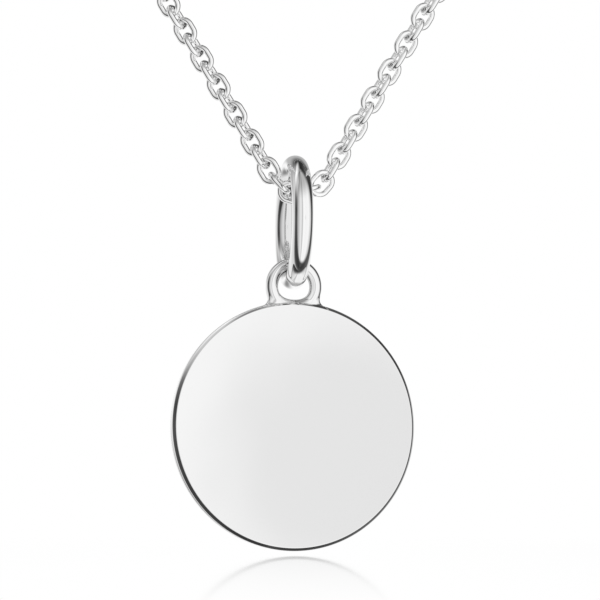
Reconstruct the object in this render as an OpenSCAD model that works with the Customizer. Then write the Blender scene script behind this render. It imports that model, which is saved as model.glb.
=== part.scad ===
// Disc pendant on a fine trace chain, built as the whole necklace in polished silver.
// Millimetres, +Z up. The origin is at the nape, where the clasp lies on the back of the neck.
// The pendant hangs in front, towards -Y, and X runs from the wearer's right to the left.

/* [Disc] */
// Diameter of the disc
disc_d = 16; // [10:0.5:30]
// Thickness of the disc
disc_t = 1.2; // [1.1:0.1:3]
// Radius of the polished edges of the disc
edge_r = 0.25; // [0.1:0.05:0.4]
// Turn of the disc about the vertical
disc_turn = 14; // [-15:1:15]

/* [Loop] */
// Thickness of the wire of the loop on the disc
loop_wire = 0.82; // [0.5:0.02:1]
// Room in the loop beside the bail's wire
loop_play = 0.74; // [0.5:0.02:1.5]
// Depth that the loop's hole dips into the disc
loop_dip = 0.02; // [0.01:0.01:0.1]
// Radius of the solder fillets at the loop's feet
solder_r = 0.5; // [0.3:0.05:0.8]
// Thickness of the solder fillets
solder_t = 0.5; // [0.3:0.05:0.5]

/* [Bail] */
// Outer diameter of the bail ring
bail_d = 8.76; // [7:0.02:14]
// Width of the bail's wire along the ring's axis
bail_wire_w = 1.36; // [0.9:0.02:1.6]
// Thickness of the bail's wire across the ring
bail_wire_t = 1.16; // [0.8:0.02:1.3]
// Turn of the bail away from square to the chain
bail_turn = 9; // [-15:1:15]

/* [Chain] */
// Thickness of the wire of a link
link_wire = 0.37; // [0.25:0.01:0.45]
// Room inside a link beside the wire that passes through it
link_play = 0.43; // [0.35:0.01:0.6]
// Space inside a link between its two neighbours when the chain is slack
link_space = 0.34; // [0.25:0.01:0.6]
// Gap that keeps each link clear of its neighbours
link_gap = 0.11; // [0.11:0.01:0.15]
// Turn of the links about their strand
link_roll = 28; // [-45:1:45]
// Links from the lowest point over which that turn grows from nothing
roll_links = 3; // [1:1:6]
// Place of the lowest link along the chain, measured from the lowest point
link_phase = -0.52; // [-0.54:0.02:0.54]
// Length of chain made link by link on each side
linked_len = 80; // [40:1:80]
// Angle of each strand to the vertical
strand_angle = 30.8; // [28:0.2:36]

/* [Clearances] */
// Gap between the loop and the bail that carries it
loop_gap = 0.09; // [0.05:0.01:0.3]
// Gap between the bail and the chain that carries it
chain_gap = 0.45; // [0.2:0.05:0.6]
// Sideways place of the chain's lowest point over the pendant
chain_shift = 0.38; // [-0.4:0.02:0.4]

/* [Clasp] */
// Length of the clasp's barrel
clasp_len = 7; // [5:0.5:12]
// Diameter of the clasp's barrel
clasp_d = 2.6; // [2.4:0.1:4]
// Radius of the barrel's rounded ends
clasp_edge = 0.5; // [0.2:0.05:0.55]
// Thickness of the wire of the clasp's end eyes
eye_wire = 0.5; // [0.4:0.05:0.8]
// Inner diameter of the clasp's end eyes
eye_hole = 1; // [0.8:0.1:2]

/* [Necklace] */
// Height of the nape above the bail's top
nape_up = 114; // [108:1:118]
// Distance of the nape behind the pendant
nape_back = 85; // [80:1:90]

/* [Hidden] */
silver = [0.86, 0.87, 0.88];
$fn = 96;
link_fn = 24;
tube_sides = 8;
tube_step = 4;
overlap = 0.05;

// Loop on the disc: the bail's wire passes through its hole
loop_hole = bail_wire_w + loop_play;
loop_mean_r = (loop_hole + loop_wire) / 2;

// Heights below the centre of the bail's wire at its top
bail_mean_r = (bail_d - bail_wire_t) / 2;
bail_low = 2 * bail_mean_r;
loop_low = bail_low - bail_wire_t / 2 - loop_gap + loop_hole / 2;
disc_low = loop_low + loop_hole / 2 - loop_dip + disc_d / 2;

// Links: a round bow at each end, and two straight sides
link_w = 3 * link_wire + link_play;
pitch = 2 * link_wire + link_space;
link_l = pitch + 2 * link_wire + link_gap;
bow_r = (link_w - link_wire) / 2;
side_len = link_l - link_w;
// From a link's centre to the middle of its bow's wire
hook = (link_l - link_wire) / 2;

// The chain turns round the bail's top, then rises along two straight strands
turn_r = bail_wire_w / 2 + chain_gap + link_w / 2;
turn_angle = 90 - strand_angle;
turn_len = turn_r * turn_angle * PI / 180;
links_a_side = floor(linked_len / pitch);

// The hidden stretch, seen from the bail's top on the side where X is above zero:
// over the collar bone, round the side of the neck and behind it to the nape
neck_route = [
    [49.8, 1.8, 79.6], [54.2, 6.9, 88.1], [57, 14.8, 95.2], [58, 25, 100.5], [56.5, 36, 104], [53, 48, 107],
    [46.5, 59, 109.5], [37, 70, 111.5], [25, 79, 113], [13.5, 84, 114]
];
route_up = neck_route[len(neck_route) - 1][2];
route_back = 85;
// Length of the hidden stretch that still runs straight on from the strand
lead_len = 4;
clasp_reach = clasp_len / 2 + eye_hole + eye_wire - overlap;

// A point of the chain's middle line, at a length from its lowest point
function strand_point(length) = let (side = sign(length), far = abs(length) - turn_len,
        angle = min(abs(length), turn_len) / turn_r * 180 / PI)
    [chain_shift + side * (turn_r * sin(angle) + max(far, 0) * sin(strand_angle)), 0,
     max(far, 0) * cos(strand_angle) - turn_r * cos(angle)];

// A smooth curve through four points, at a share t between the middle two
function curve_point(a, b, c, d, t) =
    0.5 * (2 * b + (c - a) * t + (2 * a - 5 * b + 4 * c - d) * t * t + (3 * b - a - 3 * c + d) * t * t * t);

// Points along a smooth curve through a list, a tube_step apart
function curve(p) = let (n = len(p) - 1) concat([for (i = [0:n - 1])
    let (before = i > 0 ? p[i - 1] : 2 * p[0] - p[1],
         after = i < n - 1 ? p[i + 2] : 2 * p[n] - p[n - 1],
         steps = max(1, round(norm(p[i + 1] - p[i]) / tube_step)))
    for (k = [0:steps - 1]) curve_point(before, p[i], p[i + 1], after, k / steps)], [p[n]]);

function unit(v) = v / norm(v);

// The ring of corners round point i of a path
function tube_ring(path, i, r) = let (last = len(path) - 1,
        along = unit(path[min(i + 1, last)] - path[max(i - 1, 0)]),
        across = unit(cross(along, [0, 0, 1])),
        up = cross(across, along))
    [for (k = [0:tube_sides - 1]) let (angle = 360 * k / tube_sides)
        path[i] + r * (cos(angle) * across + sin(angle) * up)];

// A closed tube swept along a path
module tube(path, r) {
    rings = len(path);
    points = [for (i = [0:rings - 1]) each tube_ring(path, i, r)];
    walls = [for (i = [0:rings - 2], k = [0:tube_sides - 1])
        let (here = i * tube_sides, next = (k + 1) % tube_sides)
        [here + k, here + next, here + tube_sides + next, here + tube_sides + k]];
    start = [[for (k = [tube_sides - 1:-1:0]) k]];
    end = [[for (k = [0:tube_sides - 1]) (rings - 1) * tube_sides + k]];
    polyhedron(points = points, faces = concat(start, walls, end));
}

// Places its children at the centre of the bail's wire at its top
module at_bail_top() {
    translate([0, -nape_back, -nape_up]) children();
}

// A round blank or barrel with rounded edges, along Z
module rounded(d, h, edge) {
    core_r = d / 2 - edge;
    core_h = h - 2 * edge;
    rotate_extrude() {
        translate([0, -h / 2]) square([core_r, h]);
        translate([0, -core_h / 2]) square([d / 2, core_h]);
        for (side = [-1, 1]) translate([core_r, side * core_h / 2]) circle(r = edge);
    }
}

// Solder in the corner between the loop's foot and the rim, on both sides
module solder() {
    rim_r = disc_d / 2;
    rise = disc_low - loop_low;
    loop_out_r = loop_mean_r + loop_wire / 2;
    to_disc = rim_r + solder_r - overlap / 2;
    to_loop = loop_out_r + solder_r - overlap / 2;
    fillet_y = (to_disc * to_disc - to_loop * to_loop + rise * rise) / (2 * rise);
    fillet_x = sqrt(to_disc * to_disc - fillet_y * fillet_y);
    for (side = [0, 1]) mirror([side, 0, 0])
        rotate([90, 0, 0]) linear_extrude(height = solder_t, center = true)
            difference() {
                polygon([[loop_mean_r, rise], [loop_mean_r / 2, rim_r - loop_wire], [fillet_x, fillet_y]]);
                translate([fillet_x, fillet_y]) circle(r = solder_r);
                translate([0, rise]) circle(r = loop_mean_r);
            }
}

// The polished disc with its wire loop, soldered into one piece
module disc() {
    color(silver) at_bail_top() translate([0, 0, -disc_low]) rotate([0, 0, disc_turn]) {
        rotate([90, 0, 0]) rounded(disc_d, disc_t, edge_r);
        translate([0, 0, disc_low - loop_low]) rotate([90, 0, 0])
            rotate_extrude() translate([loop_mean_r, 0]) circle(d = loop_wire);
        solder();
    }
}

// The section of the bail's wire, a little wider than thick
module bail_section() {
    flat = bail_wire_w - bail_wire_t;
    translate([bail_mean_r, 0]) {
        square([bail_wire_t, flat], center = true);
        for (side = [-1, 1]) translate([0, side * flat / 2]) circle(d = bail_wire_t);
    }
}

// The ring that joins the pendant to the chain
module bail() {
    color(silver) at_bail_top() translate([0, 0, -bail_mean_r])
        rotate([0, 0, 90 + bail_turn]) rotate([90, 0, 0]) rotate_extrude() bail_section();
}

// One link, lengthwise along X, flat in the XZ plane
module link() {
    rotate([90, 0, 0]) for (end = [-1, 1]) {
        translate([end * side_len / 2, 0, 0]) rotate([0, 0, -90 * end])
            rotate_extrude(angle = 180, $fn = link_fn)
                translate([bow_r, 0]) circle(d = link_wire, $fn = link_fn);
        translate([0, end * bow_r, 0]) rotate([0, 90, 0])
            cylinder(d = link_wire, h = side_len, center = true, $fn = link_fn);
    }
}

// The links under the bail's top and up both strands, each a quarter turn from the last.
// Each spans the two places where it hooks its neighbours: an upright link turns in the
// bows of the flat ones, so its own bows mark those places.
module chain_front() {
    color(silver) at_bail_top() for (i = [-links_a_side:links_a_side]) {
        flat = i % 2 == 0;
        place = link_phase + i * pitch;
        reach = flat ? pitch - hook : hook;
        from = strand_point(place - reach);
        to = strand_point(place + reach);
        slope = atan2(to[2] - from[2], to[0] - from[0]);
        roll = link_roll * min(1, abs(place) / (roll_links * pitch));
        translate((from + to) / 2) rotate([0, -slope, 0])
            rotate([roll + (flat ? 0 : 90), 0, 0]) link();
    }
}

// The rest of the chain as a plain tube on each side, from the last link to the clasp
module chain_back() {
    color(silver) at_bail_top() for (side = [-1, 1]) {
        start = links_a_side * pitch + side * link_phase + link_l / 2 + link_gap;
        shift = [0, nape_back - route_back, nape_up - route_up];
        rise_to = len(neck_route) - 1;
        neck = [for (i = [0:rise_to]) let (p = neck_route[i] + shift * i / rise_to) [side * p[0], p[1], p[2]]];
        finish = [side * (clasp_reach + link_gap), nape_back, nape_up];
        lead = [strand_point(side * start), strand_point(side * (start + lead_len))];
        tube(curve(concat(lead, neck, [finish])), link_w / 2);
    }
}

// A plain barrel clasp with an eye at each end
module clasp() {
    color(silver) rotate([0, 90, 0]) union() {
        rounded(clasp_d, clasp_len, clasp_edge);
        for (side = [-1, 1]) translate([0, 0, side * (clasp_len / 2 + eye_hole / 2 - overlap)])
            rotate([0, 90, 0]) rotate_extrude() translate([(eye_hole + eye_wire) / 2, 0])
                circle(d = eye_wire);
    }
}

disc();
bail();
chain_front();
chain_back();
clasp();
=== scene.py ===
"""Looks of the disc pendant necklace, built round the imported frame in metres, +Z up.

The sizes below are millimetres, as in the part's source. A mesh turns into metres when it is made.
"""
import math

import bpy
import numpy as np
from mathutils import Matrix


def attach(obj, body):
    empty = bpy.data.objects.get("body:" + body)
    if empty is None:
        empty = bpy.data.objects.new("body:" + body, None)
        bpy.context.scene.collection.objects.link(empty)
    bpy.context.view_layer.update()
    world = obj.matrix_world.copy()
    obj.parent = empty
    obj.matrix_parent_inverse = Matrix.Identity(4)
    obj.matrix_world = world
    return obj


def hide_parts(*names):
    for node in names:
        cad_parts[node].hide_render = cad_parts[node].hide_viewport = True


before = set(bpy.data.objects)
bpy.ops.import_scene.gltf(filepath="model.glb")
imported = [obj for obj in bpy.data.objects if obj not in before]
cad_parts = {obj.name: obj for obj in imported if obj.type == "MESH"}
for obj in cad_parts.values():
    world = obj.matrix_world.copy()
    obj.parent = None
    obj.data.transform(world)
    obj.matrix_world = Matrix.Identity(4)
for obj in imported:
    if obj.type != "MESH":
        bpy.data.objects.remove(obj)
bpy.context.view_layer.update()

MM = 0.001

# Where the bail's wire is centred at its top, measured from the nape
BAIL_TOP = np.array([0.0, -85.0, -114.0])

# Disc
DISC_R = 8.0
DISC_T = 1.2
DISC_BEVEL = 0.22
BEVEL_ROUND = 0.08
DISC_TURN = math.radians(14)
# The polished rim and bevels bulge a little, which turns their directions by up to this much
RIM_BULGE = math.radians(12)
BEVEL_BULGE = math.radians(4)
# Steps along the bevel's rounded corners, its flat and half the rim
CORNER_STEPS = 6
FLAT_STEPS = 8
# Shares of the face's radius where it has a ring of points, and degrees between the points round it
FACE_RINGS = (0.25, 0.5, 0.75, 0.9, 0.97)
DENSE_DEGREES = 0.35
WIDE_DEGREES = 1.25
DENSE_SPREAD = 30.0

# Loop on the disc
LOOP_WIRE_R = 0.41
LOOP_HOLE_R = 1.05
LOOP_MEAN_R = LOOP_HOLE_R + LOOP_WIRE_R
# The air between it and the bail, and how far the disc's rim rises into its hole
LOOP_GAP = 0.09
LOOP_DIP = 0.02
LOOP_STEPS = (224, 56)

# Solder between both: how far it reaches, how far it stays from the faces, where it fades out from
# there, over what depth inside the other piece it sinks back, and where its shine starts to turn
SOLDER = 0.75
SOLDER_INSET = 0.1
SOLDER_FADE = 0.3
SINK_DEPTH = 0.15
TURN_REACH = 0.25

# Bail
BAIL_R = 4.38
BAIL_HALF_T = 0.58
BAIL_HALF_W = 0.68
BAIL_MEAN_R = BAIL_R - BAIL_HALF_T
BAIL_TURN = math.radians(9)
BAIL_STEPS = (288, 72)

# Chain
LINK_WIRE = 0.37
LINK_GAP = 0.11
WIDE_PLAY = 0.43
LONG_PLAY = 0.34
LINK_W = 3 * LINK_WIRE + WIDE_PLAY
PITCH = 2 * LINK_WIRE + LONG_PLAY
LINK_L = PITCH + 2 * LINK_WIRE + LINK_GAP
LINK_ROLL = math.radians(28)
ROLL_LINKS = 3
LINK_PHASE = -0.52
STRAND_ANGLE = math.radians(30.8)
CHAIN_GAP = 0.45
CHAIN_SHIFT = 0.38
FRONT_LINKS = 74
# Steps round a link's wire and along each of its bows, in front and round the neck
FRONT_STEPS = (16, 20)
NECK_STEPS = (12, 16)

# Clasp
CLASP_LEN = 7.0
EYE_WIRE = 0.5
EYE_HOLE = 1.0
EYE_DIP = 0.05
EYE_CLEARANCE = 0.03

# Heights below the bail's top
LOOP_LOW = 2 * BAIL_MEAN_R - BAIL_HALF_T - LOOP_GAP + LOOP_HOLE_R
DISC_LOW = LOOP_LOW + LOOP_HOLE_R - LOOP_DIP + DISC_R
LOOP_RISE = DISC_LOW - LOOP_LOW

# The chain's turn under the bail's top
TURN_R = BAIL_HALF_W + CHAIN_GAP + LINK_W / 2
TURN_LEN = TURN_R * (math.pi / 2 - STRAND_ANGLE)
HOOK = (LINK_L - LINK_WIRE) / 2

# The chain's route round the neck on the side where X is above zero, measured from the bail's top
NECK_ROUTE = [
    (49.8, 1.8, 79.6), (54.2, 6.9, 88.1), (57, 14.8, 95.2), (58, 25, 100.5), (56.5, 36, 104),
    (53, 48, 107), (46.5, 59, 109.5), (37, 70, 111.5), (25, 79, 113), (13.5, 84, 114),
]
NAPE = np.array([0.0, 85.0, 114.0])
LEAD_LEN = 4.0


# Meshes

def unit(v):
    return v / np.linalg.norm(v, axis=-1, keepdims=True)


def full_turn(steps):
    return np.linspace(0, 2 * math.pi, steps, endpoint=False)


def stack_grid(x, y, z):
    """A grid of points from three grids that fit each other."""
    return np.stack(np.broadcast_arrays(x, y, z), axis=-1)


def ring_faces(rows, columns, close_rows=True):
    """Quads over a grid of points that is closed along each row, and across the rows if asked."""
    row = np.arange(rows if close_rows else rows - 1)[:, None]
    column = np.arange(columns)[None, :]
    next_row = (row + 1) % rows
    next_column = (column + 1) % columns
    corners = (row * columns + column, row * columns + next_column,
               next_row * columns + next_column, next_row * columns + column)
    return np.stack([np.broadcast_to(c, (len(row), columns)).ravel() for c in corners], axis=1)


def make_piece(name, points, normals, faces, material, body, slot, *nodes):
    """One mesh object in metres, smooth, that rides on a body and stands for CAD nodes."""
    mesh = bpy.data.meshes.new(name)
    mesh.from_pydata((points * MM).tolist(), [], [list(map(int, f)) for f in faces])
    mesh.polygons.foreach_set("use_smooth", [True] * len(mesh.polygons))
    mesh.materials.append(material)
    mesh.normals_split_custom_set_from_vertices(unit(normals).tolist())
    mesh.update()
    piece = bpy.data.objects.new(name, mesh)
    bpy.context.scene.collection.objects.link(piece)
    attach(piece, body)
    if nodes:
        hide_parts(*nodes)
    return piece


# Disc with its loop, both soldered together by a smooth blend of their distances

def smooth_max(a, b, reach):
    """The larger of both, rounded where they differ by less than the reach."""
    near = np.maximum(reach - np.abs(a - b), 0) / reach
    return np.maximum(a, b) + near * near * reach / 4


def disc_distance(p):
    """Distance from the surface of the bevelled blank, in the disc's own axes."""
    rim = np.hypot(p[:, 0], p[:, 2]) - DISC_R
    face = np.abs(p[:, 1]) - DISC_T / 2
    bevel = (rim + face + DISC_BEVEL) / math.sqrt(2)
    square_reach, bevel_reach = 0.02, 0.3 * BEVEL_ROUND
    return smooth_max(smooth_max(rim, face, square_reach), bevel, bevel_reach)


def loop_distance(p):
    """Distance from the surface of the loop's wire, in the disc's own axes."""
    around = np.hypot(p[:, 0], p[:, 2] - LOOP_RISE) - LOOP_MEAN_R
    return np.hypot(around, p[:, 1]) - LOOP_WIRE_R


def soldered_distance(p):
    """The nearer of both surfaces, rounded where they come within the solder's reach.

    The solder stays on the rim, so its reach fades out towards both faces of the disc.
    """
    disc, loop = disc_distance(p), loop_distance(p)
    fade = np.clip((DISC_T / 2 - SOLDER_INSET - np.abs(p[:, 1])) / SOLDER_FADE, 0, 1)
    least_reach = 1e-6
    reach = SOLDER * fade * fade * (3 - 2 * fade) + least_reach
    near = np.maximum(reach - np.abs(disc - loop), 0) / reach
    return np.minimum(disc, loop) - near * near * reach / 4


def slope_of(distance, p, step=1e-3):
    """The gradient of a distance, by central differences."""
    columns = []
    for axis in range(3):
        move = np.zeros(3)
        move[axis] = step
        columns.append((distance(p + move) - distance(p - move)) / (2 * step))
    return np.stack(columns, axis=1)


def solder(points, normals, other_distance):
    """Moves points outside the other piece onto the blended surface. Inside it, they sink back."""
    rounds, least_slope = 12, 1e-9
    share = np.clip(1 + other_distance(points) / SINK_DEPTH, 0, 1)[:, None]
    blended = points.copy()
    for _ in range(rounds):
        slope = slope_of(soldered_distance, blended)
        level = soldered_distance(blended)[:, None]
        steepness = (slope * slope).sum(axis=1, keepdims=True)
        blended -= level * slope / np.maximum(steepness, least_slope)
    on_rim = np.abs(points[:, 1]) < DISC_T / 2 - SOLDER_INSET
    near = ((other_distance(points) < SOLDER) & on_rim)[:, None]
    moved = np.where(near, points + share * (blended - points), points)
    soft = np.clip((SOLDER - other_distance(points)) / TURN_REACH, 0, 1)[:, None]
    blended_normals = slope_of(soldered_distance, blended)
    turned = np.where(near, normals + soft * (blended_normals - normals), normals)
    return moved, turned


def disc_profile():
    """Radius, depth and direction of the blank's outline, from the front face to the back one."""
    arc = BEVEL_ROUND * math.pi / 4
    flat = DISC_BEVEL * math.sqrt(2) - 2 * BEVEL_ROUND * math.tan(math.pi / 8)
    half_rim = DISC_T / 2 - DISC_BEVEL - BEVEL_ROUND * math.tan(math.pi / 8)
    # Length, then slope of the outline at the start and end, the same of the direction, and steps
    diagonal = math.pi / 4
    parts = [(arc, 2 * diagonal, diagonal, 2 * diagonal, diagonal + BEVEL_BULGE, CORNER_STEPS),
             (flat, diagonal, diagonal, diagonal + BEVEL_BULGE, diagonal - BEVEL_BULGE, FLAT_STEPS),
             (arc, diagonal, 0.0, diagonal - BEVEL_BULGE, RIM_BULGE, CORNER_STEPS),
             (half_rim, 0.0, 0.0, RIM_BULGE, 0.0, FLAT_STEPS)]
    outline = [(0.0, 0.0, 1.0, 0.0)]
    reach = depth = 0.0
    for length, slope, end_slope, turn, end_turn, steps in parts:
        for step in range(1, steps + 1):
            middle = slope + (end_slope - slope) * (step - 0.5) / steps
            reach += length / steps * math.sin(middle)
            depth += length / steps * math.cos(middle)
            lean = turn + (end_turn - turn) * step / steps
            outline.append((reach, depth, math.sin(lean), math.cos(lean)))
    front = [(DISC_R - reach + r, d - DISC_T / 2, out, -face) for r, d, face, out in outline]
    core = [(front[0][0] * share, -DISC_T / 2, 0.0, -1.0) for share in FACE_RINGS]
    rows = core + front
    return rows + [(r, -d, out, -face) for r, d, out, face in rows[-2::-1]]


def disc_angles():
    """Angles round the disc, dense at the top where the loop is soldered on."""
    top = np.arange(90 - DENSE_SPREAD, 90 + DENSE_SPREAD, DENSE_DEGREES)
    rest = np.arange(90 + DENSE_SPREAD, 450 - DENSE_SPREAD, WIDE_DEGREES)
    return np.radians(np.concatenate([top, rest]))


def blank_mesh():
    """Points, directions and faces of the blank with its solder, in the disc's own axes."""
    angles = disc_angles()
    points, normals = [], []
    for radius, depth, out, back in disc_profile():
        depth_row = np.full_like(angles, depth)
        back_row = np.full_like(angles, back)
        points.append(np.stack([radius * np.cos(angles), depth_row, radius * np.sin(angles)], axis=1))
        normals.append(np.stack([out * np.cos(angles), back_row, out * np.sin(angles)], axis=1))
    rows, columns = len(points), len(angles)
    faces = ring_faces(rows, columns, close_rows=False)[:, ::-1].tolist()
    points, normals = solder(np.concatenate(points), np.concatenate(normals), loop_distance)
    faces.append(list(range(columns)))
    faces.append(list(range((rows - 1) * columns, rows * columns))[::-1])
    return points, normals, faces


def loop_mesh():
    """Points, directions and faces of the loop with its solder, in the disc's own axes."""
    t = full_turn(LOOP_STEPS[0])[:, None]
    a = full_turn(LOOP_STEPS[1])[None, :]
    out = stack_grid(np.cos(t) * np.cos(a), np.sin(a), np.sin(t) * np.cos(a))
    centre = stack_grid(np.cos(t), 0 * a, np.sin(t)) * LOOP_MEAN_R
    points = (centre + LOOP_WIRE_R * out).reshape(-1, 3) + [0, 0, LOOP_RISE]
    points, normals = solder(points, out.reshape(-1, 3), disc_distance)
    return points, normals, ring_faces(*LOOP_STEPS)


def make_disc(material):
    blank_points, blank_normals, blank_faces = blank_mesh()
    loop_points, loop_normals, loop_faces = loop_mesh()
    points = np.concatenate([blank_points, loop_points])
    normals = np.concatenate([blank_normals, loop_normals])
    faces = blank_faces + (loop_faces + len(blank_points)).tolist()
    across = np.array([math.cos(DISC_TURN), math.sin(DISC_TURN), 0.0])
    back = np.array([-math.sin(DISC_TURN), math.cos(DISC_TURN), 0.0])
    axes = np.stack([across, back, np.array([0.0, 0.0, 1.0])])
    centre = BAIL_TOP - [0, 0, DISC_LOW]
    return make_piece("disc_polished", points @ axes + centre, normals @ axes, faces,
                      material, "disc", "disc_silver", "disc")


def make_bail(material):
    t = full_turn(BAIL_STEPS[0])[:, None, None]
    a = full_turn(BAIL_STEPS[1])[None, :, None]
    level = np.array([-math.sin(BAIL_TURN), math.cos(BAIL_TURN), 0.0])
    axis = np.array([-math.cos(BAIL_TURN), -math.sin(BAIL_TURN), 0.0])
    out = np.cos(t) * level + np.sin(t) * np.array([0.0, 0.0, 1.0])
    centre = BAIL_TOP - [0, 0, BAIL_MEAN_R] + BAIL_MEAN_R * out
    points = centre + BAIL_HALF_T * np.cos(a) * out + BAIL_HALF_W * np.sin(a) * axis
    normals = np.cos(a) / BAIL_HALF_T * out + np.sin(a) / BAIL_HALF_W * axis
    return make_piece("bail_ring", points.reshape(-1, 3), normals.reshape(-1, 3),
                      ring_faces(*BAIL_STEPS), material, "bail", "bail_silver", "bail")


# Chain

def strand_point(length):
    """A point of the middle line in front, at a signed length from its lowest point."""
    side = math.copysign(1, length)
    far = max(abs(length) - TURN_LEN, 0)
    angle = min(abs(length), TURN_LEN) / TURN_R
    out = TURN_R * math.sin(angle) + far * math.sin(STRAND_ANGLE)
    rise = far * math.cos(STRAND_ANGLE) - TURN_R * math.cos(angle)
    return np.array([CHAIN_SHIFT + side * out, 0, rise])


def smooth_route(route, steps=24):
    """Points close together along a smooth curve through a list of points."""
    p = [2 * route[0] - route[1]] + route + [2 * route[-1] - route[-2]]
    line = []
    for a, b, c, d in zip(p, p[1:], p[2:], p[3:]):
        for t in np.arange(steps) / steps:
            line.append(0.5 * (2 * b + (c - a) * t + (2 * a - 5 * b + 4 * c - d) * t ** 2
                               + (3 * b - a - 3 * c + d) * t ** 3))
    line.append(route[-1])
    return np.array(line)


class Strand:
    """One side of the chain: straight in front, then round the neck to the clasp's eye."""

    def __init__(self, side):
        self.side = side
        self.start = FRONT_LINKS * PITCH + side * LINK_PHASE + LINK_L / 2 + LINK_GAP
        lead = [strand_point(side * self.start), strand_point(side * (self.start + LEAD_LEN))]
        neck = [np.array([side * x, y, z], dtype=float) for x, y, z in NECK_ROUTE]
        # The last link turns in the clasp's eye, a little clear of the eye's wire
        eye_bar = CLASP_LEN / 2 + EYE_HOLE - EYE_DIP + EYE_WIRE / 2
        end_bow = eye_bar - EYE_WIRE / 2 - LINK_WIRE / 2 - EYE_CLEARANCE
        self.line = smooth_route(lead + neck + [NAPE + [side * end_bow, 0, 0]])
        steps = np.linalg.norm(np.diff(self.line, axis=0), axis=1)
        self.lengths = np.concatenate([[0], np.cumsum(steps)])
        self.total = self.start + self.lengths[-1]
        self.sides = self.carried_sides()

    def carried_sides(self):
        """The direction across the strands, carried along the line without turning about it."""
        across = np.array([0.0, 1.0, 0.0])
        found = []
        for along in unit(np.gradient(self.line, axis=0)):
            across = unit(across - along * (across @ along))
            found.append(across)
        return np.array(found)

    def between(self, rows, length):
        """The line's point or side at a length from the chain's lowest point."""
        return np.array([np.interp(length - self.start, self.lengths, column) for column in rows.T])

    def point(self, length):
        if length < self.start:
            return strand_point(self.side * length)
        return self.between(self.line, length)

    def across(self, length):
        if length < self.start:
            return np.array([0.0, 1.0, 0.0])
        return self.between(self.sides, length)


def link_shape(round_steps, bow_steps):
    """Points and directions of one link, lengthwise along X and flat in XZ."""
    bow_r = (LINK_W - LINK_WIRE) / 2
    straight = (LINK_L - LINK_W) / 2
    bow = np.linspace(-math.pi / 2, math.pi / 2, bow_steps + 1)
    t = np.concatenate([bow, bow + math.pi])[:, None]
    shift = np.concatenate([np.full(len(bow), straight), np.full(len(bow), -straight)])[:, None]
    a = full_turn(round_steps)[None, :]
    out = stack_grid(np.cos(t) * np.cos(a), np.sin(a), np.sin(t) * np.cos(a))
    middle = stack_grid(shift + bow_r * np.cos(t), 0 * a, bow_r * np.sin(t))
    points = (middle + LINK_WIRE / 2 * out).reshape(-1, 3)
    return points, out.reshape(-1, 3), ring_faces(len(t), round_steps)


def link_axes(start, end, across, roll):
    """A link's own axes: along the chain, then across it, turned by its roll."""
    along = unit(end - start)
    level = unit(across - along * (across @ along))
    upright = np.cross(along, level)
    return np.stack([along, level * math.cos(roll) + upright * math.sin(roll),
                     upright * math.cos(roll) - level * math.sin(roll)])


def front_link(index):
    """Middle and axes of a link of the front stretch, as in the part's source."""
    flat = index % 2 == 0
    reach = PITCH - HOOK if flat else HOOK
    place = LINK_PHASE + index * PITCH
    start, end = strand_point(place - reach), strand_point(place + reach)
    roll = LINK_ROLL * min(1, abs(place) / (ROLL_LINKS * PITCH)) + (0 if flat else math.pi / 2)
    return (start + end) / 2, link_axes(start, end, np.array([0.0, 1.0, 0.0]), roll)


def back_links(strand):
    """Middle and axes of each link round the neck, up to the one that turns in the clasp's eye."""
    first = FRONT_LINKS * PITCH + strand.side * LINK_PHASE
    stretch = strand.total - HOOK - first
    count = round(stretch / PITCH)
    step = stretch / count
    last_across = strand.across(strand.total - HOOK)
    # The last link stands upright, square to the clasp's flat eye
    last_roll = LINK_ROLL + (0 if (FRONT_LINKS + count) % 2 == 0 else math.pi / 2)
    along = unit(strand.point(strand.total) - strand.point(strand.total - 2 * HOOK)) * strand.side
    axes = link_axes(np.zeros(3), along, last_across, last_roll)
    lean = math.atan2(axes[1][2], axes[2][2])
    turn = (lean + math.pi / 2) % math.pi - math.pi / 2
    for number in range(1, count + 1):
        flat = (FRONT_LINKS + number) % 2 == 0
        reach = step - HOOK if flat else HOOK
        place = first + number * step
        ends = [strand.point(place - reach), strand.point(min(place + reach, strand.total))]
        if strand.side < 0:
            ends.reverse()
        roll = LINK_ROLL + (0 if flat else math.pi / 2) + turn * number / count
        yield (ends[0] + ends[1]) / 2, link_axes(ends[0], ends[1], strand.across(place), roll)


def make_links(name, links, steps, material, *nodes):
    """Many links as one mesh."""
    shape, directions, faces = link_shape(*steps)
    points, normals, all_faces = [], [], []
    for number, (middle, axes) in enumerate(links):
        points.append(shape @ axes + middle + BAIL_TOP)
        normals.append(directions @ axes)
        all_faces.append(faces + number * len(shape))
    return make_piece(name, np.concatenate(points), np.concatenate(normals),
                      np.concatenate(all_faces), material, "necklace", "chain_silver", *nodes)


def make_chain(material):
    """Both sides of the chain. The wearer's left is where X is above zero."""
    front_left = [front_link(index) for index in range(0, FRONT_LINKS + 1)]
    front_right = [front_link(index) for index in range(-FRONT_LINKS, 0)]
    make_links("chain_links_left", front_left, FRONT_STEPS, material, "chain_front")
    make_links("chain_links_right", front_right, FRONT_STEPS, material)
    make_links("chain_neck_left", back_links(Strand(1)), NECK_STEPS, material, "chain_back")
    make_links("chain_neck_right", back_links(Strand(-1)), NECK_STEPS, material)


# Materials

WHITE = (1.0, 1.0, 1.0, 1.0)
PENDANT_TONE = 0.95
CHAIN_TONE = 1.0

# Least and greatest roughness, and the noise for each metre that spreads it in patches
DISC_ROUGHNESS = (0.03, 0.06)
BAIL_ROUGHNESS = (0.02, 0.05)
CHAIN_ROUGHNESS = (0.01, 0.04)
HAZE_SCALE = 700.0
HAZE_DETAIL = 4.0
HAZE_ROUGHNESS = 0.6

# The waves that polishing leaves on the disc: how many for each metre, and their height in metres
WAVE_SCALE = 140.0
WAVE_HEIGHT = 0.00003

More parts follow.
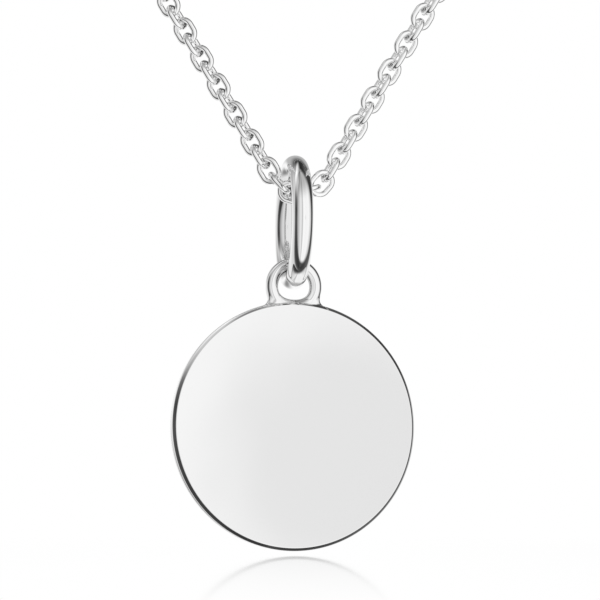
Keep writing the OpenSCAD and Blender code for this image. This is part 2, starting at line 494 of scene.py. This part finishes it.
# Painted shade: the silver's colour is darkened on the inner side of the loop and the bail, standing
# in
# for their shade there: distances from the hole's middle where that starts and where it is full, and
# the tone there
LOOP_RECESS_SHADE = (1.32, 1.14, 0.55)
BAIL_RECESS_SHADE = (3.7, 3.35, 0.82)


def set_inputs(node, **values):
    for name, value in values.items():
        node.inputs[name.replace("_", " ")].default_value = value


def silver(name, tone, roughness):
    """Polished silver with faint haze in patches."""
    material = bpy.data.materials.new(name)
    material.use_nodes = True
    nodes, links = material.node_tree.nodes, material.node_tree.links
    shader = nodes["Principled BSDF"]
    set_inputs(shader, Metallic=1.0, Base_Color=(tone, tone, tone, 1.0))
    place = nodes.new("ShaderNodeTexCoord")
    haze = nodes.new("ShaderNodeTexNoise")
    set_inputs(haze, Scale=HAZE_SCALE, Detail=HAZE_DETAIL, Roughness=HAZE_ROUGHNESS)
    spread = nodes.new("ShaderNodeMapRange")
    set_inputs(spread, To_Min=roughness[0], To_Max=roughness[1])
    links.new(place.outputs["Object"], haze.inputs["Vector"])
    links.new(haze.outputs["Fac"], spread.inputs["Value"])
    links.new(spread.outputs["Result"], shader.inputs["Roughness"])
    return material


def polishing_waves(material):
    """Bends the reflections a little, as polishing does on a flat face."""
    nodes, links = material.node_tree.nodes, material.node_tree.links
    place = nodes.new("ShaderNodeTexCoord")
    waves = nodes.new("ShaderNodeTexNoise")
    set_inputs(waves, Scale=WAVE_SCALE, Detail=1.0)
    bump = nodes.new("ShaderNodeBump")
    set_inputs(bump, Strength=1.0, Distance=WAVE_HEIGHT)
    links.new(place.outputs["Object"], waves.inputs["Vector"])
    links.new(waves.outputs["Fac"], bump.inputs["Height"])
    links.new(bump.outputs["Normal"], nodes["Principled BSDF"].inputs["Normal"])


def paint_recess_shade(material, centre, recess, tone):
    """Painted shade: darkens the silver's colour on the inner side of a ring."""
    start, full, shaded_tone = recess
    nodes, links = material.node_tree.nodes, material.node_tree.links
    place = nodes.new("ShaderNodeTexCoord")
    away = nodes.new("ShaderNodeVectorMath")
    away.operation = "DISTANCE"
    away.inputs[1].default_value = (centre * MM).tolist()
    links.new(place.outputs["Object"], away.inputs[0])
    inside = smooth_step(nodes, links, away.outputs["Value"], start * MM, full * MM)
    level = math_node(nodes, links, "MULTIPLY_ADD", inside, shaded_tone - tone, tone)
    links.new(level, nodes["Principled BSDF"].inputs["Base Color"])


# Studio: a white tent, open in a dark gap between its front and back halves. Only the silver's
# reflections see it

# Direction round the object, 0 towards the camera and growing to the right, and the brightness there
TENT = [
    (-180, 1.0), (-135, 0.97), (-118, 0.92), (-104, 0.86), (-90, 0.84), (-80, 0.78), (-64, 0.62),
    (-48, 0.64), (-38, 0.74), (-25, 0.86), (-15, 0.93), (-9, 0.94), (-4, 0.82), (2, 0.76),
    (7, 0.9), (12, 1.0), (22, 0.99), (34, 0.975), (64, 0.99), (80, 0.85), (100, 0.72),
    (122, 0.84), (146, 0.96), (180, 1.0),
]

# The gap: place round the line of sight, 0 at the right and 90 above, then the gap's angle from the
# direction of the camera, its half width, and its brightness
GAP = [
    (-180, 68, 17, 0.5), (-162, 68, 17, 0.44), (-142, 70, 17, 0.4), (-124, 74, 16, 0.4),
    (-107, 80, 14, 0.36), (-92, 87, 13, 0.3), (-77, 93, 13, 0.32), (-63, 99, 14, 0.36),
    (-49, 103, 15, 0.45), (-36, 106, 15, 0.46), (-10, 108, 15, 0.4), (2.5, 108, 15, 0.38),
    (15, 109, 17, 0.36), (28, 111, 20, 0.3), (40, 112, 22, 0.28), (52, 110, 22, 0.36),
    (65, 107, 19, 0.38), (78, 106, 15, 0.2), (90, 108, 14, 0.18), (100, 98, 14, 0.85),
    (112, 82, 15, 1.25), (128, 76, 15, 1.25), (140, 72, 15, 1.05), (151, 70, 16, 0.65),
    (165, 68, 17, 0.42), (180, 68, 17, 0.5),
]
# Where the gap's edge starts to lighten and where it ends, as shares of its half width
GAP_EDGE = (0.6, 1.35)

# The tent is darker overhead, and also behind from a little above the object: the rise upwards, and
# the share of the direction backwards, where each starts and where it is full, and the light lost
OVERHEAD = (0.5, 0.95)
ABOVE = (0.12, 0.4)
BEHIND = (0.1, 0.5)
HIGH_LOSS = 0.5

# A soft grey card that the disc's face mirrors: azimuth and elevation, inner and outer radius in
# degrees, brightness
FACE_CARD = (29.6, 1.3, 2.3, 5.8, 0.935)

# A soft dark card behind on the left, which the disc's rim mirrors
RIM_CARD = (-153.0, -15.0, 3.0, 25.0, 0.58)


def linear(level):
    """Linear light of a brightness as it is seen, where 1 is white."""
    return level / 12.92 if level <= 0.04045 else ((level + 0.055) / 1.055) ** 2.4


def math_node(nodes, links, operation, *values):
    """The result of a sum whose values are numbers or other nodes' results."""
    node = nodes.new("ShaderNodeMath")
    node.operation = operation
    for socket, value in zip(node.inputs, values):
        if isinstance(value, (int, float)):
            socket.default_value = value
        else:
            links.new(value, socket)
    return node.outputs[0]


def smooth_step(nodes, links, value, low, high):
    """Rises softly from 0 at low to 1 at high."""
    node = nodes.new("ShaderNodeMapRange")
    node.interpolation_type = "SMOOTHSTEP"
    set_inputs(node, From_Min=low, From_Max=high)
    links.new(value, node.inputs["Value"])
    return node.outputs["Result"]


def ring_ramp(nodes, links, share, stops):
    """A colour for each place of a full turn: stops are (angle, red, green, blue)."""
    ring = nodes.new("ShaderNodeValToRGB")
    ramp = ring.color_ramp
    while len(ramp.elements) > 1:
        ramp.elements.remove(ramp.elements[-1])
    for number, (angle, *colour) in enumerate(stops):
        position = angle / 360 + 0.5
        stop = ramp.elements.new(position) if number else ramp.elements[0]
        stop.position = position
        stop.color = (*colour, 1.0)
    links.new(share, ring.inputs["Fac"])
    return ring.outputs["Color"]


def turn_share(nodes, links, across, ahead):
    """The angle of a direction in a plane, as a share of a full turn with 0.5 straight ahead."""
    turn = math_node(nodes, links, "ARCTAN2", across, ahead)
    return math_node(nodes, links, "MULTIPLY_ADD", turn, 0.5 / math.pi, 0.5)


def card_share(nodes, links, direction, card):
    """One on a round soft card, and nought beyond it."""
    azimuth, elevation, inner, outer, _ = card
    azimuth, elevation = math.radians(azimuth), math.radians(elevation)
    centre = (math.sin(azimuth) * math.cos(elevation), -math.cos(azimuth) * math.cos(elevation),
              math.sin(elevation))
    dot = nodes.new("ShaderNodeVectorMath")
    dot.operation = "DOT_PRODUCT"
    links.new(direction, dot.inputs[0])
    dot.inputs[1].default_value = centre
    angle = math_node(nodes, links, "ARCCOSINE", dot.outputs["Value"])
    return smooth_step(nodes, links, angle, math.radians(outer), math.radians(inner))


def tent_shade(nodes, links, direction, away, up):
    """How much of the tent's light is left where it is high up or behind a card."""
    overhead = smooth_step(nodes, links, up, *OVERHEAD)
    above = smooth_step(nodes, links, up, *ABOVE)
    behind = smooth_step(nodes, links, away, *BEHIND)
    high_behind = math_node(nodes, links, "MULTIPLY", above, behind)
    shade = math_node(nodes, links, "MULTIPLY_ADD", overhead, -HIGH_LOSS, 1.0)
    shade = math_node(nodes, links, "MULTIPLY_ADD", high_behind, -HIGH_LOSS, shade)
    for card in (FACE_CARD, RIM_CARD):
        share = card_share(nodes, links, direction, card)
        kept = math_node(nodes, links, "MULTIPLY_ADD", share, linear(card[-1]) - 1, 1.0)
        shade = math_node(nodes, links, "MULTIPLY", shade, kept)
    return shade


def with_gap(nodes, links, shade, right, toward, up):
    """The tent's shade with the dark gap cut into it."""
    stops = [(turn, centre / 180, half / 180, linear(level)) for turn, centre, half, level in GAP]
    gap = nodes.new("ShaderNodeSeparateColor")
    round_sight = turn_share(nodes, links, up, right)
    links.new(ring_ramp(nodes, links, round_sight, stops), gap.inputs["Color"])
    centre, half, level = (gap.outputs[name] for name in ("Red", "Green", "Blue"))
    from_camera = math_node(nodes, links, "ARCCOSINE", toward)
    from_camera = math_node(nodes, links, "DIVIDE", from_camera, math.pi)
    beside = math_node(nodes, links, "SUBTRACT", from_camera, centre)
    beside = math_node(nodes, links, "ABSOLUTE", beside)
    beside = math_node(nodes, links, "DIVIDE", beside, half)
    lit = smooth_step(nodes, links, beside, *GAP_EDGE)
    rise = math_node(nodes, links, "SUBTRACT", shade, level)
    return math_node(nodes, links, "MULTIPLY_ADD", rise, lit, level)


def make_studio():
    world = bpy.data.worlds.new("studio")
    bpy.context.scene.world = world
    world.use_nodes = True
    nodes, links = world.node_tree.nodes, world.node_tree.links
    nodes.clear()
    place = nodes.new("ShaderNodeTexCoord")
    direction = place.outputs["Generated"]
    split = nodes.new("ShaderNodeSeparateXYZ")
    links.new(direction, split.inputs["Vector"])
    right, away, up = (split.outputs[axis] for axis in "XYZ")
    toward = math_node(nodes, links, "MULTIPLY", away, -1.0)
    azimuth = turn_share(nodes, links, right, toward)
    tent = ring_ramp(nodes, links, azimuth, [(angle, *[linear(level)] * 3) for angle, level in TENT])
    shade = tent_shade(nodes, links, direction, away, up)
    strength = with_gap(nodes, links, shade, right, toward, up)
    light = nodes.new("ShaderNodeBackground")
    links.new(tent, light.inputs["Color"])
    links.new(strength, light.inputs["Strength"])
    page = nodes.new("ShaderNodeBackground")
    set_inputs(page, Color=WHITE, Strength=1.0)
    ray = nodes.new("ShaderNodeLightPath")
    choice = nodes.new("ShaderNodeMixShader")
    output = nodes.new("ShaderNodeOutputWorld")
    links.new(ray.outputs["Is Camera Ray"], choice.inputs["Fac"])
    links.new(light.outputs["Background"], choice.inputs[1])
    links.new(page.outputs["Background"], choice.inputs[2])
    links.new(choice.outputs["Shader"], output.inputs["Surface"])


# Floor: white, with a faint mirror image that fades away from the disc

# How far the disc hangs above the floor, and half the floor's width
FLOOR_GAP = 0.15
FLOOR_HALF = 400.0
# The mirror image's share under the disc, and the distances where it is full and where it ends
MIRROR_SHARE = 0.52
MIRROR_FULL = 8.0
MIRROR_END = 66.0
MIRROR_ROUGHNESS = 0.05
STONE_IOR = 1.5


def floor_material(middle):
    """Polished white stone with its mirror image round the middle, unseen from below."""
    material = bpy.data.materials.new("pale_floor")
    material.use_nodes = True
    nodes, links = material.node_tree.nodes, material.node_tree.links
    nodes.clear()
    page = nodes.new("ShaderNodeEmission")
    set_inputs(page, Color=WHITE, Strength=1.0)
    gloss = nodes.new("ShaderNodeBsdfGlossy")
    set_inputs(gloss, Color=WHITE, Roughness=MIRROR_ROUGHNESS)
    place = nodes.new("ShaderNodeTexCoord")
    away = nodes.new("ShaderNodeVectorMath")
    away.operation = "DISTANCE"
    away.inputs[1].default_value = middle
    links.new(place.outputs["Object"], away.inputs[0])
    share = nodes.new("ShaderNodeMapRange")
    set_inputs(share, From_Min=MIRROR_END * MM, From_Max=MIRROR_FULL * MM, To_Max=MIRROR_SHARE)
    links.new(away.outputs["Value"], share.inputs["Value"])
    # Stone mirrors strongly only at a low angle
    sheen = nodes.new("ShaderNodeFresnel")
    set_inputs(sheen, IOR=STONE_IOR)
    mirrored = math_node(nodes, links, "MULTIPLY", share.outputs["Result"], sheen.outputs["Fac"])
    choice = nodes.new("ShaderNodeMixShader")
    links.new(mirrored, choice.inputs["Fac"])
    links.new(page.outputs["Emission"], choice.inputs[1])
    links.new(gloss.outputs["BSDF"], choice.inputs[2])
    clear = nodes.new("ShaderNodeBsdfTransparent")
    side = nodes.new("ShaderNodeNewGeometry")
    seen = nodes.new("ShaderNodeMixShader")
    links.new(side.outputs["Backfacing"], seen.inputs["Fac"])
    links.new(choice.outputs["Shader"], seen.inputs[1])
    links.new(clear.outputs["BSDF"], seen.inputs[2])
    output = nodes.new("ShaderNodeOutputMaterial")
    links.new(seen.outputs["Shader"], output.inputs["Surface"])
    return material


def make_floor():
    level = (BAIL_TOP[2] - DISC_LOW - DISC_R - FLOOR_GAP) * MM
    half = FLOOR_HALF * MM
    mesh = bpy.data.meshes.new("floor")
    corners = [(-half, -half, level), (half, -half, level), (half, half, level), (-half, half, level)]
    mesh.from_pydata(corners, [], [(0, 1, 2, 3)])
    mesh.materials.append(floor_material((BAIL_TOP[0] * MM, BAIL_TOP[1] * MM, level)))
    floor = bpy.data.objects.new("floor", mesh)
    bpy.context.scene.collection.objects.link(floor)
    floor.visible_glossy = False
    floor.visible_diffuse = False
    floor.visible_shadow = False


# Camera: level with the disc's lower half and looking up a little

# How far it is in front of the disc's middle, below it and to its right
CAMERA_BACK = 125.0
CAMERA_LOW = 4.78
CAMERA_SIDE = 0.41
CAMERA_PITCH = math.radians(5.91)
CAMERA_LENS = 116.28
SENSOR_WIDTH = 36.0
NEAREST = 0.005
FARTHEST = 5.0


def make_camera():
    data = bpy.data.cameras.new("camera")
    data.lens = CAMERA_LENS
    data.sensor_width = SENSOR_WIDTH
    data.clip_start = NEAREST
    data.clip_end = FARTHEST
    camera = bpy.data.objects.new("camera", data)
    centre = BAIL_TOP - [0, 0, DISC_LOW]
    place = centre + [CAMERA_SIDE, -CAMERA_BACK, -CAMERA_LOW]
    camera.location = (place * MM).tolist()
    camera.rotation_euler = (math.pi / 2 + CAMERA_PITCH, 0.0, 0.0)
    bpy.context.scene.collection.objects.link(camera)
    bpy.context.scene.camera = camera


disc_silver = silver("disc_silver_polished", PENDANT_TONE, DISC_ROUGHNESS)
polishing_waves(disc_silver)
# Painted shade inside the loop, darkening the silver's colour
paint_recess_shade(disc_silver, BAIL_TOP - [0, 0, LOOP_LOW], LOOP_RECESS_SHADE, PENDANT_TONE)
bail_silver = silver("bail_silver_polished", PENDANT_TONE, BAIL_ROUGHNESS)
# Painted shade inside the bail, darkening the silver's colour
paint_recess_shade(bail_silver, BAIL_TOP - [0, 0, BAIL_MEAN_R], BAIL_RECESS_SHADE, PENDANT_TONE)
chain_silver = silver("chain_silver_polished", CHAIN_TONE, CHAIN_ROUGHNESS)
make_disc(disc_silver)
make_bail(bail_silver)
make_chain(chain_silver)
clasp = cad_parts["clasp"]
clasp.data.materials.clear()
clasp.data.materials.append(chain_silver)
make_studio()
make_floor()
make_camera()
bpy.context.scene.view_settings.view_transform = "Standard"
